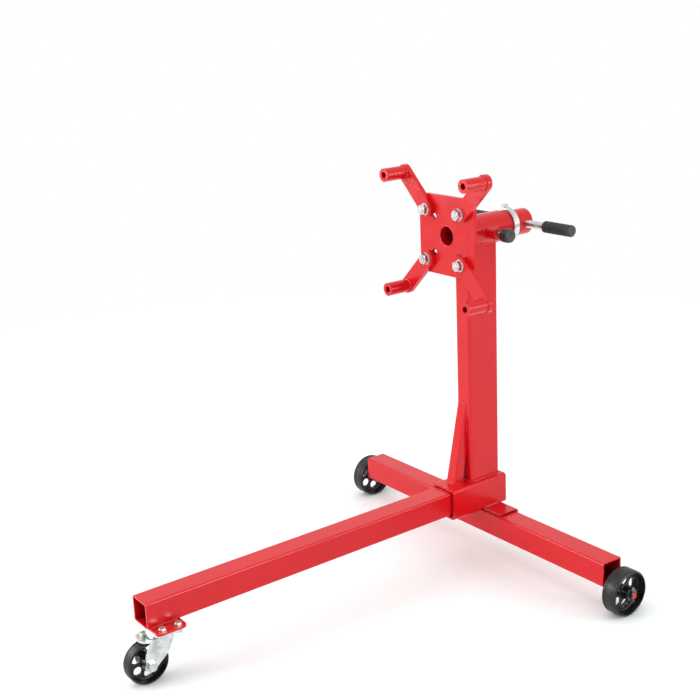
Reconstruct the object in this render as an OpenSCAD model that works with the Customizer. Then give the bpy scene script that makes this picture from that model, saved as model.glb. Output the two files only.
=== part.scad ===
// Three-wheel engine stand: a rear beam on two fixed wheels, a front leg on a swivel caster, a post with a
// brace, and a turning head with four adjustable mounting arms.
// The floor is z = 0, the front leg points towards -Y, and x = 0 is the middle of the leg and the post.

/* [Base] */
// Outer width of the square tube of the beam and the leg
tube = 50; // [46:1:51]
// Wall of the square tube
tube_wall = 3; // [2:0.5:4]
// Length of the rear beam
beam_length = 736; // [600:10:900]
// Distance from the beam's middle to the open end of the front leg
leg_reach = 815; // [700:1:950]
// Outer width of the leg socket
socket = 66; // [65:0.5:70]
// Length of the leg socket
socket_length = 148; // [120:0.5:200]
// How far the socket reaches behind the beam's middle
socket_rear = 43; // [36:0.5:60]
// Thickness of the saddle plate between socket and beam
saddle_t = 5; // [3:0.5:6]
// Length of the saddle plate along the beam
saddle_length = 166; // [150:2:220]

/* [Post] */
// Width of the post, seen from the front
post_w = 40; // [34:1:46]
// Depth of the post, seen from the side
post_d = 80; // [60:1:84]
// Wall of the post
post_wall = 4; // [3:0.5:5]
// Width of the brace
brace_w = 27; // [20:1:34]
// Depth of the brace's section
brace_d = 22; // [14:1:26]
// Height of the brace's top above the socket
brace_h = 172; // [120:2:220]

/* [Rear wheels] */
// Diameter of the rear wheels
rear_wheel_d = 92; // [86:2:104]
// Width of the rear wheels
rear_wheel_w = 34; // [28:1:38]
// Diameter of the rear axle
axle_d = 16; // [14:1:18]

/* [Front caster] */
// Diameter of the front wheel
front_wheel_d = 81; // [78:1:82]
// Width of the front wheel
front_wheel_w = 26; // [22:1:28]
// Distance the wheel trails from the kingpin
trail = 33; // [28:1:36]
// Distance from the leg's open end back to the kingpin
kingpin_inset = 35; // [34:1:60]

/* [Head] */
// Height of the head's turning axis above the floor
head_z = 700; // [600:5:760]
// Outer diameter of the head sleeve
sleeve_d = 64; // [62:1:70]
// Length of the head sleeve
sleeve_length = 140; // [120:2:160]
// Outer diameter of the turning head tube
shaft_d = 54; // [50:0.5:54]
// Width of the square mounting plate
plate_w = 160; // [156:2:180]
// Distance of the arm bolts from the head's axis
arm_pivot_r = 71; // [70:1:72]
// Travel of an arm bolt each way in its slot
arm_travel = 20; // [10:1:20]
// Length of a mounting arm from its clamp bolt to its engine bolt
arm_length = 95; // [80:1:110]
// Bore of the mounting arms for the engine bolts
engine_bolt_d = 13; // [10:0.5:15]
// Length of the turning handle
handle_length = 300; // [260:10:300]

/* [Hidden] */
$fn = 64;

red = "#dc3331";
zinc = "#c3cad0";
black = "#17181a";
rubber = "#26262a";

// Shared clearances and overshoots
cut = 1;
fit = 0.08;
face_gap = 0.3;
corner_r = 4;

// Heights of the base, from the floor up
axle_z = rear_wheel_d / 2;
beam_bottom = axle_z + axle_d / 2;
beam_top = beam_bottom + tube;
socket_bottom = beam_top;
socket_wall = 5;
socket_corner_r = 6.5;
socket_inside = socket - 2 * socket_wall;
liner_t = 4.5;
socket_top = socket_bottom + socket;
socket_mid_z = socket_bottom + socket / 2;
leg_bottom = socket_bottom + socket_wall + liner_t;
leg_mid_z = leg_bottom + tube / 2;

// Lengths of the base: y = 0 is the middle of the whole stand
tail_rear = 130;
front_reach = leg_reach - kingpin_inset + trail + front_wheel_d / 2;
beam_y = (front_reach - tail_rear) / 2;
leg_front = beam_y - leg_reach;
socket_front = beam_y + socket_rear - socket_length;
leg_end_inset = 6;
leg_rear = beam_y + socket_rear - leg_end_inset;
liner_inset = 15;
set_bolt_inset = 30;
set_bolt_pitch = 50;
post_offset = 4.75;
post_y = beam_y - post_offset;
post_front = post_y - post_d / 2;
brace_foot_y = socket_front + 23;

// Saddle plate and its bolts
saddle_front = beam_y - 22;
saddle_back = beam_y + tube / 2;
flange_drop = 40;
saddle_bolt_x = 60;
saddle_bolt_z = beam_bottom + 27;

// Hexagon fasteners: [shank diameter, width across flats, head height, nut height]
m8 = [8, 13, 5.3, 6.5];
m10 = [10, 17, 6.4, 8];
m12 = [12, 19, 7.5, 10];

// Wheels
wheel_holes = 6;
hole_phase = 3;
rear_hole_r = 9;
rear_hole_pitch_r = 25;
front_hole_r = 8;
front_hole_pitch_r = 22.5;
hub_r = 12.5;
axle_offset = 6;
axle_y = beam_y + axle_offset;
rear_hub_inner = beam_length / 2 + 7.5;
rear_hub_w = rear_wheel_w + 2;
rear_wheel_x = rear_hub_inner + rear_hub_w / 2;
washer_t = 2;
split_pin_x = rear_hub_inner + rear_hub_w + 4.5;
split_pin_r = 1.5;
axle_end = split_pin_x + 3.5;

// Caster
kingpin_y = leg_front + kingpin_inset;
caster_plate_t = 4.5;
caster_plate_bottom = leg_bottom - caster_plate_t;
top_plate_t = 2.5;
top_plate_bottom = caster_plate_bottom - top_plate_t;
caster_plate_shift = 4;
caster_bolt_x = 38;
caster_bolt_y = 15.5;
front_axle_y = kingpin_y - trail;
front_axle_z = front_wheel_d / 2;
fork_half = 22;
fork_t = 3;
fork_front = -50;
fork_rear = 27;
fork_rear_r = 20;
crown_front = -46;
crown_front_r = 19;
crown_lip = 1.2;
crown_top = top_plate_bottom - 17.5;
crown_t = 3.5;
race_r = 23;
race_h = 4.5;
ball_r = 3;
ball_pitch_r = 18;
ball_gap = 0.2;
ball_z = crown_top + race_h + ball_gap + ball_r;
kingpin_r = 6;
bush_r = 6;

// Head
head_y = beam_y;
sleeve_front = head_y - sleeve_length / 2;
sleeve_rear = head_y + sleeve_length / 2;
shaft_r = shaft_d / 2;
shaft_wall = 6;
thrust_t = 4;
plate_t = 8;
plate_rear = sleeve_front - face_gap - thrust_t;
plate_front = plate_rear - plate_t;
collar_w = 14;
collar_r = 36;
shaft_rear = head_y + tail_rear;
handle_y = shaft_rear - 18;
handle_r = 8;
grip_length = 70;
grip_r = 12;
index_count = 8;
pin_r = 6;
pin_tip = shaft_r + 2;
boss_r = 12;
boss_end = 60;
knob_start = boss_end + 15;
pin_length = knob_start + 6 - pin_tip;

// Mounting arms
arm_t = 10;
arm_r = 16;
arm_rear = plate_front - 0.1;
arm_front = arm_rear - arm_t;
arm_tube_r = 13.5;
arm_tube_length = 50;
clamp_washer_r = 12;
clamp_washer_t = 2.5;
clamp_pitch = 1.75;

// ---------- Shared shapes ----------

// Rectangle w by h about the middle, with corners of radius r
module rounded_rectangle(w, h, r) {
    square([w - 2 * r, h], center = true);
    square([w, h - 2 * r], center = true);
    for (x = [-1, 1], y = [-1, 1])
        translate([x * (w / 2 - r), y * (h / 2 - r)])
            circle(r);
}

// Section of a rectangular tube
module tube_section(w, h, wall, r) {
    difference() {
        rounded_rectangle(w, h, r);
        rounded_rectangle(w - 2 * wall, h - 2 * wall, max(r - wall, 1));
    }
}

// Lays a shape that stands on +Z along another axis
module along_x() { rotate([0, 90, 0]) children(); }
module along_minus_x() { rotate([0, -90, 0]) children(); }
module along_y() { rotate([-90, 0, 0]) children(); }
module along_minus_y() { rotate([90, 0, 0]) children(); }

// Ring or washer standing on z = 0
module ring(outer_r, inner_r, h) {
    difference() {
        cylinder(h = h, r = outer_r);
        translate([0, 0, -cut])
            cylinder(h = h + 2 * cut, r = inner_r);
    }
}

// Hexagon prism with its top and bottom corners turned off, as on a real head or nut
module hexagon(across, h) {
    corner = across / sqrt(3);
    intersection() {
        cylinder(h = h, r = corner, $fn = 6);
        union() {
            cylinder(h = h - 1, r1 = corner + h - 1, r2 = corner);
            translate([0, 0, h - 1])
                cylinder(h = 1, r1 = corner, r2 = across / 2 - 0.4);
        }
    }
}

// Hexagon bolt: the head stands on z = 0, the shank goes down
module hex_bolt(size, length) {
    hexagon(size[1], size[2]);
    translate([0, 0, -length])
        cylinder(h = length, r = size[0] / 2);
    translate([0, 0, -length - 1])
        cylinder(h = 1, r1 = size[0] / 2 - 1, r2 = size[0] / 2);
}

// Hexagon nut standing on z = 0
module hex_nut(size) {
    difference() {
        hexagon(size[1], size[3]);
        translate([0, 0, -cut])
            cylinder(h = size[3] + 2 * cut, r = size[0] / 2);
    }
}

// Points of an arc, angles in degrees
function arc(x, y, r, from, to, steps = 6) =
    [for (i = [0 : steps]) let (a = from + (to - from) * i / steps) [x + r * cos(a), y + r * sin(a)]];

// Wheel about the X axis: rounded tread with fine grooves, thin web with holes, and a hub with a plain bore
module wheel(d, w, hub_w, bore_r, hole_r, hole_pitch_r) {
    r = d / 2;
    shoulder = 5;
    rim_in = r - 4.5;
    rim_root = r - 7;
    web_half = 1.5;
    fillet = 2;
    groove_t = 0.6;
    groove_half = 0.8;
    groove_places = [w / 2 - shoulder - 1.5, w / 2 - shoulder - 5];
    half = concat(
        [[bore_r, 0], [bore_r, hub_w / 2]],
        [[hub_r - 1, hub_w / 2], [hub_r, hub_w / 2 - 1]],
        arc(hub_r + fillet, web_half + fillet, fillet, 180, 270, 4),
        arc(rim_root - fillet, web_half + fillet, fillet, 270, 360, 4),
        [[rim_in, w / 2 - 1], [rim_in + 1, w / 2]],
        arc(r - shoulder, w / 2 - shoulder, shoulder, 78, 0),
        [for (y = groove_places) each [[r, y + groove_half], [r - groove_t, y], [r, y - groove_half]]],
        [[r, 0]]
    );
    along_x()
        difference() {
            rotate_extrude($fn = 96)
                union() {
                    polygon(half);
                    mirror([0, 1])
                        polygon(half);
                }
            for (i = [0 : wheel_holes - 1])
                rotate([0, 0, hole_phase + i * 360 / wheel_holes])
                    translate([hole_pitch_r, 0, -web_half - cut])
                        cylinder(h = 2 * (web_half + cut), r = hole_r);
        }
}

// ---------- Base ----------

module rear_beam() {
    color(red)
        difference() {
            translate([-beam_length / 2, beam_y, beam_bottom + tube / 2])
                along_x()
                    linear_extrude(beam_length)
                        tube_section(tube, tube, tube_wall, corner_r);
            for (x = [-1, 1])
                translate([x * saddle_bolt_x, beam_y, saddle_bolt_z])
                    along_y()
                        cylinder(h = tube, r = m10[0] / 2 + fit);
        }
}

module front_leg() {
    color(red)
        translate([0, leg_rear, leg_mid_z])
            along_minus_y()
                linear_extrude(leg_rear - leg_front)
                    tube_section(tube, tube, tube_wall, corner_r);
}

module leg_socket() {
    color(red)
        difference() {
            translate([0, socket_front, socket_mid_z])
                along_y()
                    linear_extrude(socket_length)
                        tube_section(socket, socket, socket_wall, socket_corner_r);
            set_bolt_places()
                cylinder(h = socket, r = m10[0] / 2 + fit);
        }
}

// Packing strip of L section inside the socket, under the leg and on its right side
module leg_liner() {
    color(red)
        translate([0, leg_rear, socket_mid_z])
            along_minus_y()
                linear_extrude(leg_rear - socket_front - liner_inset)
                    difference() {
                        rounded_rectangle(socket_inside, socket_inside, socket_corner_r - socket_wall);
                        translate([-socket, leg_bottom - socket_mid_z])
                            square([socket + tube / 2, 2 * socket]);
                    }
}

// Flat plate on the beam, bent down behind it, with a notch in which the socket sits
module saddle_plate() {
    bend_r = 6;
    color(red)
        difference() {
            translate([-saddle_length / 2, 0, 0])
                along_x()
                    linear_extrude(saddle_length)
                        rotate(90)
                            saddle_section(bend_r);
            translate([-socket / 2, saddle_front - cut, beam_top])
                cube([socket, 2 * tube, 2 * saddle_t]);
            for (x = [-1, 1])
                translate([x * saddle_bolt_x, beam_y, saddle_bolt_z])
                    along_y()
                        cylinder(h = tube, r = m10[0] / 2 + fit);
        }
}

// Section of the saddle plate, y to the right and z up
module saddle_section(bend_r) {
    difference() {
        union() {
            translate([saddle_front, beam_top])
                square([saddle_back + saddle_t - bend_r - saddle_front, saddle_t]);
            translate([saddle_back + saddle_t - bend_r, beam_top + saddle_t - bend_r])
                circle(bend_r);
            translate([saddle_back, beam_top - flange_drop])
                square([saddle_t, flange_drop + saddle_t - bend_r]);
        }
        translate([saddle_front, beam_top - 2 * bend_r])
            square([saddle_back - saddle_front, 2 * bend_r]);
    }
}

module saddle_bolts() {
    color(zinc)
        for (x = [-1, 1])
            translate([x * saddle_bolt_x, saddle_back + saddle_t, saddle_bolt_z])
                along_y()
                    hex_bolt(m10, saddle_t + tube_wall + m10[3] + 2);
}

module saddle_weld_nuts() {
    color(red)
        for (x = [-1, 1])
            translate([x * saddle_bolt_x, saddle_back - tube_wall, saddle_bolt_z])
                along_minus_y()
                    hex_nut(m10);
}

// Places of the two bolts on the socket's left side, +Z pointing out of the socket
module set_bolt_places() {
    for (i = [0, 1])
        translate([-tube / 2, socket_front + set_bolt_inset + i * set_bolt_pitch, leg_mid_z])
            along_minus_x()
                children();
}

module leg_set_bolts() {
    shank = 19;
    color(zinc)
        set_bolt_places()
            translate([0, 0, shank + 1])
                hex_bolt(m10, shank);
}

module leg_set_nuts() {
    color(red)
        set_bolt_places()
            translate([0, 0, (socket - tube) / 2])
                hex_nut(m10);
}

// ---------- Post ----------

module post() {
    outer_r = 5;
    top_overlap = 20;
    color(red)
        difference() {
            translate([0, post_y, socket_top])
                linear_extrude(head_z - top_overlap - socket_top)
                    tube_section(post_w, post_d, post_wall, outer_r);
            translate([0, post_front - cut, head_z])
                along_y()
                    cylinder(h = post_d + 2 * cut, r = sleeve_d / 2);
        }
}

// Folded channel, leaning from the socket's top to the post's front, open towards the post
module brace() {
    side_step = 1;
    lean = atan((post_front - brace_foot_y) / brace_h);
    left = -post_w / 2 + side_step;
    color(red)
        intersection() {
            translate([left + brace_w / 2, brace_foot_y, socket_top])
                rotate([-lean, 0, 0])
                    translate([0, 0, -brace_d])
                        linear_extrude(brace_h + 3 * brace_d)
                            channel_section();
            translate([left - cut, socket_front, socket_top])
                cube([brace_w + 2 * cut, post_front - socket_front, brace_h]);
        }
}

// Section of the brace: its closed side at y = 0, its open side at y = brace_d
module channel_section() {
    sheet = 3;
    outer_r = 4.5;
    difference() {
        translate([0, brace_d])
            rounded_rectangle(brace_w, 2 * brace_d, outer_r);
        translate([0, brace_d + sheet])
            rounded_rectangle(brace_w - 2 * sheet, 2 * brace_d, outer_r - sheet);
        translate([-brace_w, brace_d])
            square([2 * brace_w, 2 * brace_d]);
    }
}

// ---------- Rear axle and wheels ----------

module rear_axle() {
    chamfer = 2;
    color(red)
        difference() {
            translate([-axle_end, axle_y, axle_z])
                along_x()
                    union() {
                        translate([0, 0, chamfer])
                            cylinder(h = 2 * (axle_end - chamfer), r = axle_d / 2);
                        cylinder(h = chamfer, r1 = axle_d / 2 - chamfer, r2 = axle_d / 2);
                        translate([0, 0, 2 * axle_end - chamfer])
                            cylinder(h = chamfer, r1 = axle_d / 2, r2 = axle_d / 2 - chamfer);
                    }
            for (x = [-1, 1])
                translate([x * split_pin_x, axle_y, axle_z - axle_d])
                    cylinder(h = 2 * axle_d, r = split_pin_r + fit);
        }
}

module rear_wheel(side) {
    color(black)
        translate([side * rear_wheel_x, axle_y, axle_z])
            wheel(rear_wheel_d, rear_wheel_w, rear_hub_w, axle_d / 2 + fit, rear_hole_r, rear_hole_pitch_r);
}

module rear_wheel_left() { rear_wheel(-1); }
module rear_wheel_right() { rear_wheel(1); }

module axle_washers() {
    starts = [rear_hub_inner - face_gap - washer_t, rear_hub_inner + rear_hub_w + face_gap];
    color(zinc)
        for (side = [0, 1], x = starts)
            mirror([side, 0, 0])
                translate([x, axle_y, axle_z])
                    along_x()
                        ring(hub_r, axle_d / 2 + fit, washer_t);
}

// Split pin through the axle: an eye on top, and two legs bent apart below
module split_pins() {
    eye_r = 3.2;
    leg = 7;
    color(zinc)
        for (x = [-1, 1])
            translate([x * split_pin_x, axle_y, axle_z]) {
                translate([0, 0, -axle_d / 2 - 1])
                    cylinder(h = axle_d + 2, r = split_pin_r);
                translate([0, 0, axle_d / 2 + 1 + eye_r])
                    along_x()
                        rotate_extrude()
                            translate([eye_r, 0])
                                circle(split_pin_r - 0.3);
                for (tilt = [-35, 35])
                    translate([0, 0, -axle_d / 2 - 1])
                        rotate([180 + tilt, 0, 0])
                            cylinder(h = leg, r = split_pin_r - 0.3);
            }
}

// ---------- Front caster ----------

// Places of the four caster bolts, about the kingpin
module caster_bolt_places() {
    for (x = [-1, 1], y = [-1, 1])
        translate([caster_plate_shift + x * caster_bolt_x, kingpin_y + y * caster_bolt_y, 0])
            children();
}

module caster_plate() {
    width = 96;
    depth = 60;
    plate_corner_r = 8;
    color(red)
        difference() {
            translate([caster_plate_shift, kingpin_y, caster_plate_bottom])
                linear_extrude(caster_plate_t)
                    rounded_rectangle(width, depth, plate_corner_r);
            caster_bolt_places()
                cylinder(h = leg_bottom + cut, r = m8[0] / 2 + fit);
        }
}

// Zinc plate with the upper ball race and its skirt pressed into it
module caster_top_plate() {
    width = 92;
    depth = 57;
    plate_corner_r = 7;
    skirt_r = 27;
    skirt_t = 2.2;
    skirt_bottom = crown_top + race_h + 0.8;
    race_top = ball_z + ball_r + ball_gap;
    color(zinc)
        difference() {
            union() {
                translate([caster_plate_shift, kingpin_y, top_plate_bottom])
                    linear_extrude(top_plate_t)
                        rounded_rectangle(width, depth, plate_corner_r);
                translate([0, kingpin_y, race_top])
                    cylinder(h = top_plate_bottom - race_top, r = skirt_r);
                translate([0, kingpin_y, skirt_bottom])
                    ring(skirt_r, skirt_r - skirt_t, race_top - skirt_bottom);
            }
            translate([0, kingpin_y, 0])
                cylinder(h = leg_bottom, r = kingpin_r);
            caster_bolt_places()
                cylinder(h = leg_bottom, r = m8[0] / 2 + fit);
        }
}

module caster_bolts() {
    color(zinc)
        caster_bolt_places()
            translate([0, 0, leg_bottom])
                hex_bolt(m8, caster_plate_t + top_plate_t + m8[3]);
}

module caster_nuts() {
    color(zinc)
        caster_bolt_places()
            translate([0, 0, top_plate_bottom - m8[3]])
                hex_nut(m8);
}

// Headed pin that holds the fork's crown to the top plate
module kingpin() {
    head_h = 3.5;
    color(zinc)
        translate([0, kingpin_y, 0]) {
            translate([0, 0, crown_top - crown_t - face_gap])
                cylinder(h = caster_plate_bottom - crown_top + crown_t + face_gap, r = kingpin_r - 0.01);
            translate([0, 0, crown_top - crown_t - face_gap - head_h])
                cylinder(h = head_h, r1 = kingpin_r + 2, r2 = kingpin_r + 4);
        }
}

module swivel_balls() {
    count = 14;
    color(zinc)
        for (i = [0 : count - 1])
            translate([0, kingpin_y, ball_z])
                rotate([0, 0, i * 360 / count])
                    translate([ball_pitch_r, 0, 0])
                        sphere(ball_r, $fn = 32);
}

// Outline of one side of the fork, seen from +X: y from the kingpin to the right, z up
function fork_outline() = concat(
    [[-30, crown_top + cut], [-31, crown_top - crown_t], [-38.5, crown_top - 12]],
    [[-45, front_axle_z + 1.5]],
    arc(-trail - 0.7, front_axle_z, 11.3, 180, 310, 8),
    [[1.5, crown_top - 34], [19, crown_top - crown_t], [19, crown_top + cut]]
);

// Plan of the fork: a strip with small corners in front and large ones behind
module fork_plan(half, front, rear, front_r, rear_r) {
    translate([-half, front + front_r])
        square([2 * half, rear - rear_r - front - front_r]);
    translate([-half + front_r, front])
        square([2 * (half - front_r), rear - front - rear_r]);
    translate([-half + rear_r, front])
        square([2 * (half - rear_r), rear - front]);
    for (side = [-1, 1]) {
        translate([side * (half - front_r), front + front_r])
            circle(front_r);
        translate([side * (half - rear_r), rear - rear_r])
            circle(rear_r);
    }
}

// Walls of the fork seen from above: open in front, bent round behind
module fork_walls() {
    end_r = 1;
    difference() {
        fork_plan(fork_half, fork_front, fork_rear, end_r, fork_rear_r);
        fork_plan(fork_half - fork_t, 2 * fork_front, fork_rear - fork_t, end_r, fork_rear_r - fork_t);
    }
}

// Crown of the fork: a dish with a lip and the lower ball race in its middle
module fork_crown() {
    translate([0, kingpin_y, crown_top - crown_t])
        linear_extrude(crown_t - crown_lip)
            crown_plan(0);
    translate([0, kingpin_y, crown_top - crown_t])
        linear_extrude(crown_t)
            difference() {
                crown_plan(0);
                crown_plan(fork_t);
            }
    translate([0, kingpin_y, crown_top - crown_t])
        cylinder(h = crown_t + race_h, r1 = race_r + 1.5, r2 = race_r);
}

// Plan of the crown, drawn in by inset
module crown_plan(inset) {
    front_r = crown_front_r - inset;
    fork_plan(fork_half - inset, crown_front + inset, fork_rear - inset, front_r, fork_rear_r - inset);
}

// Pressed fork: a crown with a raised ball race, and two flat sides that bend round behind
module caster_fork() {
    color(zinc)
        difference() {
            union() {
                intersection() {
                    translate([0, kingpin_y, 0])
                        linear_extrude(crown_top)
                            fork_walls();
                    translate([-fork_half - cut, kingpin_y, 0])
                        rotate([90, 0, 90])
                            linear_extrude(2 * (fork_half + cut))
                                polygon(fork_outline());
                }
                fork_crown();
                fork_ribs();
            }
            translate([0, kingpin_y, 0])
                cylinder(h = leg_bottom, r = kingpin_r + fit);
            translate([-2 * fork_half, front_axle_y, front_axle_z])
                along_x()
                    cylinder(h = 4 * fork_half, r = m10[0] / 2 + fit);
        }
}

// Stiffening rib pressed outwards in each side of the fork
module fork_ribs() {
    rise = 1.6;
    half_w = 7.5;
    rib_r = (half_w * half_w + rise * rise) / (2 * rise);
    low = 57;
    high = 74;
    rib_y = kingpin_y - 10;
    for (side = [0, 1])
        mirror([side, 0, 0])
            intersection() {
                translate([fork_half + rise - rib_r, rib_y, 0]) {
                    translate([0, 0, low])
                        cylinder(h = high - low, r = rib_r);
                    translate([0, 0, low])
                        sphere(rib_r);
                    translate([0, 0, high])
                        sphere(rib_r);
                }
                translate([fork_half - 1, kingpin_y - fork_half, 0])
                    cube([rise + 2, 2 * fork_half, crown_top]);
            }
}

module front_wheel() {
    hub_w = 2 * (fork_half - fork_t - 1);
    color(black)
        translate([0, front_axle_y, front_axle_z])
            wheel(front_wheel_d, front_wheel_w, hub_w, bush_r + fit, front_hole_r, front_hole_pitch_r);
}

module wheel_bush() {
    bush_half = fork_half - fork_t;
    color(zinc)
        translate([-bush_half, front_axle_y, front_axle_z])
            along_x()
                ring(bush_r, m10[0] / 2 + fit, 2 * bush_half);
}

module wheel_bolt() {
    color(zinc)
        translate([fork_half, front_axle_y, front_axle_z])
            along_x()
                hex_bolt(m10, 2 * fork_half + m10[3] + 1);
}

module wheel_nut() {
    color(zinc)
        translate([-fork_half, front_axle_y, front_axle_z])
            along_minus_x()
                hex_nut(m10);
}

// ---------- Head ----------

module head_sleeve() {
    color(red)
        difference() {
            translate([0, sleeve_front, head_z])
                along_y()
                    ring(sleeve_d / 2, shaft_r + fit, sleeve_length);
            translate([0, head_y, head_z])
                along_x()
                    cylinder(h = sleeve_d, r = pin_r + fit);
        }
}

// Short tube welded on the sleeve, in which the lock pin slides
module lock_pin_boss() {
    seat = sleeve_d / 2 - 2.5;
    color(red)
        difference() {
            translate([seat, head_y, head_z])
                along_x()
                    ring(boss_r, pin_r + fit, boss_end - seat);
            translate([0, head_y - boss_r - cut, head_z])
                along_y()
                    cylinder(h = 2 * (boss_r + cut), r = sleeve_d / 2);
        }
}

module lock_pin() {
    color(zinc)
        translate([pin_tip, head_y, head_z])
            along_x()
                union() {
                    cylinder(h = 2, r1 = pin_r - 2, r2 = pin_r);
                    translate([0, 0, 2])
                        cylinder(h = pin_length - 2, r = pin_r);
                }
}

module lock_pin_knob() {
    knob_r = 14;
    edge = 4;
    length = 22;
    color(rubber)
        translate([knob_start, head_y, head_z])
            along_x()
                difference() {
                    rotate_extrude()
                        polygon(concat(
                            [[0, 0]],
                            arc(knob_r - edge, edge, edge, -90, 0),
                            arc(knob_r - edge, length - edge, edge, 0, 90),
                            [[0, length]]
                        ));
                    translate([0, 0, -cut])
                        cylinder(h = 6 + cut, r = pin_r);
                }
}

// Turning tube with a ring of index holes and a cross hole for the handle
module head_shaft() {
    color(red)
        difference() {
            translate([0, plate_rear, head_z])
                along_y()
                    ring(shaft_r, shaft_r - shaft_wall, shaft_rear - plate_rear);
            for (i = [0 : index_count - 1])
                translate([0, head_y, head_z])
                    rotate([0, i * 360 / index_count, 0])
                        cylinder(h = sleeve_d, r = pin_r + 0.3);
            translate([-sleeve_d, handle_y, head_z])
                along_x()
                    cylinder(h = 2 * sleeve_d, r = handle_r + fit);
        }
}

module thrust_washer() {
    color(zinc)
        translate([0, plate_rear, head_z])
            along_y()
                ring(collar_r - 1, shaft_r + fit, thrust_t);
}

// Square plate with a diagonal slot at each corner, welded on the front of the turning tube
module mounting_plate() {
    slot_r = m12[0] / 2 + 0.4;
    color(red)
        difference() {
            translate([0, plate_rear, head_z])
                along_minus_y()
                    linear_extrude(plate_t)
                        rounded_rectangle(plate_w, plate_w, 20);
            translate([0, plate_rear + cut, head_z])
                along_minus_y()
                    cylinder(h = plate_t + 2 * cut, r = shaft_r - shaft_wall);
            for (i = [0 : 3])
                translate([0, plate_rear + cut, head_z])
                    rotate([0, 45 + 90 * i, 0])
                        along_minus_y()
                            linear_extrude(plate_t + 2 * cut)
                                slot(arm_pivot_r - arm_travel, arm_pivot_r + arm_travel, slot_r);
        }
}

// Slot along +X between two centres
module slot(from, to, r) {
    translate([from, -r])
        square([to - from, 2 * r]);
    for (x = [from, to])
        translate([x, 0])
            circle(r);
}

module retaining_collar() {
    color(zinc)
        difference() {
            translate([0, sleeve_rear + face_gap, head_z])
                along_y()
                    ring(collar_r, shaft_r + fit, collar_w);
            translate([0, sleeve_rear + face_gap + collar_w / 2, head_z])
                cylinder(h = 2 * collar_r, r = m8[0] / 2 + fit);
        }
}

module collar_screw() {
    color(zinc)
        translate([0, sleeve_rear + face_gap + collar_w / 2, head_z + collar_r + 1])
            hex_bolt(m8, collar_r - shaft_r);
}

module handle_bar() {
    color(zinc)
        translate([-handle_length / 2, handle_y, head_z])
            along_x()
                cylinder(h = handle_length, r = handle_r);
}

// Rubber grip on each end of the handle, closed at its outer end
module handle_grips() {
    cap = 4;
    edge = 3;
    color(rubber)
        for (side = [0, 1])
            mirror([side, 0, 0])
                translate([handle_length / 2 - grip_length, handle_y, head_z])
                    along_x()
                        difference() {
                            rotate_extrude()
                                polygon(concat(
                                    [[0, 0]],
                                    arc(grip_r - edge, edge, edge, -90, 0),
                                    arc(grip_r - edge, grip_length + cap - edge, edge, 0, 90),
                                    [[0, grip_length + cap]]
                                ));
                            translate([0, 0, -cut])
                                cylinder(h = grip_length + cut, r = handle_r);
                        }
}

// ---------- Mounting arms ----------

// Turns children to arm number 1 to 4: +X points outwards along the slot, +Z points forwards (-Y)
module at_arm(number) {
    translate([0, 0, head_z])
        rotate([0, 45 - 90 * number, 0])
            along_minus_y()
                translate([arm_pivot_r, 0, 0])
                    children();
}

// Flat bar with a clamp hole at one end and a hole for the engine bolt at the other
module arm(number) {
    color(red)
        at_arm(number)
            translate([0, 0, -arm_rear])
                difference() {
                    linear_extrude(arm_t)
                        slot(0, arm_length, arm_r);
                    translate([0, 0, -cut])
                        cylinder(h = arm_t + 2 * cut, r = m12[0] / 2 + fit);
                    translate([arm_length, 0, -cut])
                        cylinder(h = arm_t + 2 * cut, r = engine_bolt_d / 2);
                }
}

// Tube for the engine bolt, welded on the arm's outer end
module arm_tube(number) {
    color(red)
        at_arm(number)
            translate([arm_length, 0, -arm_front])
                ring(arm_tube_r, engine_bolt_d / 2, arm_tube_length);
}

// The bolt's head is behind the plate, its shank points forwards through the slot and the arm
module clamp_bolt(number) {
    color(zinc)
        at_arm(number)
            translate([0, 0, -plate_rear - clamp_washer_t])
                mirror([0, 0, 1])
                    hex_bolt(m12, plate_t + arm_t + 2 * clamp_washer_t + m12[3] + clamp_pitch);
}

module clamp_washers(number) {
    color(zinc)
        at_arm(number)
            for (z = [-plate_rear - clamp_washer_t, -arm_front])
                translate([0, 0, z])
                    ring(clamp_washer_r, m12[0] / 2 + fit, clamp_washer_t);
}

module clamp_nut(number) {
    color(zinc)
        at_arm(number)
            translate([0, 0, -arm_front + clamp_washer_t])
                hex_nut(m12);
}

module arm_1() { arm(1); }
module arm_2() { arm(2); }
module arm_3() { arm(3); }
module arm_4() { arm(4); }
module arm_tube_1() { arm_tube(1); }
module arm_tube_2() { arm_tube(2); }
module arm_tube_3() { arm_tube(3); }
module arm_tube_4() { arm_tube(4); }
module clamp_bolt_1() { clamp_bolt(1); }
module clamp_bolt_2() { clamp_bolt(2); }
module clamp_bolt_3() { clamp_bolt(3); }
module clamp_bolt_4() { clamp_bolt(4); }
module clamp_washers_1() { clamp_washers(1); }
module clamp_washers_2() { clamp_washers(2); }
module clamp_washers_3() { clamp_washers(3); }
module clamp_washers_4() { clamp_washers(4); }
module clamp_nut_1() { clamp_nut(1); }
module clamp_nut_2() { clamp_nut(2); }
module clamp_nut_3() { clamp_nut(3); }
module clamp_nut_4() { clamp_nut(4); }

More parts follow.
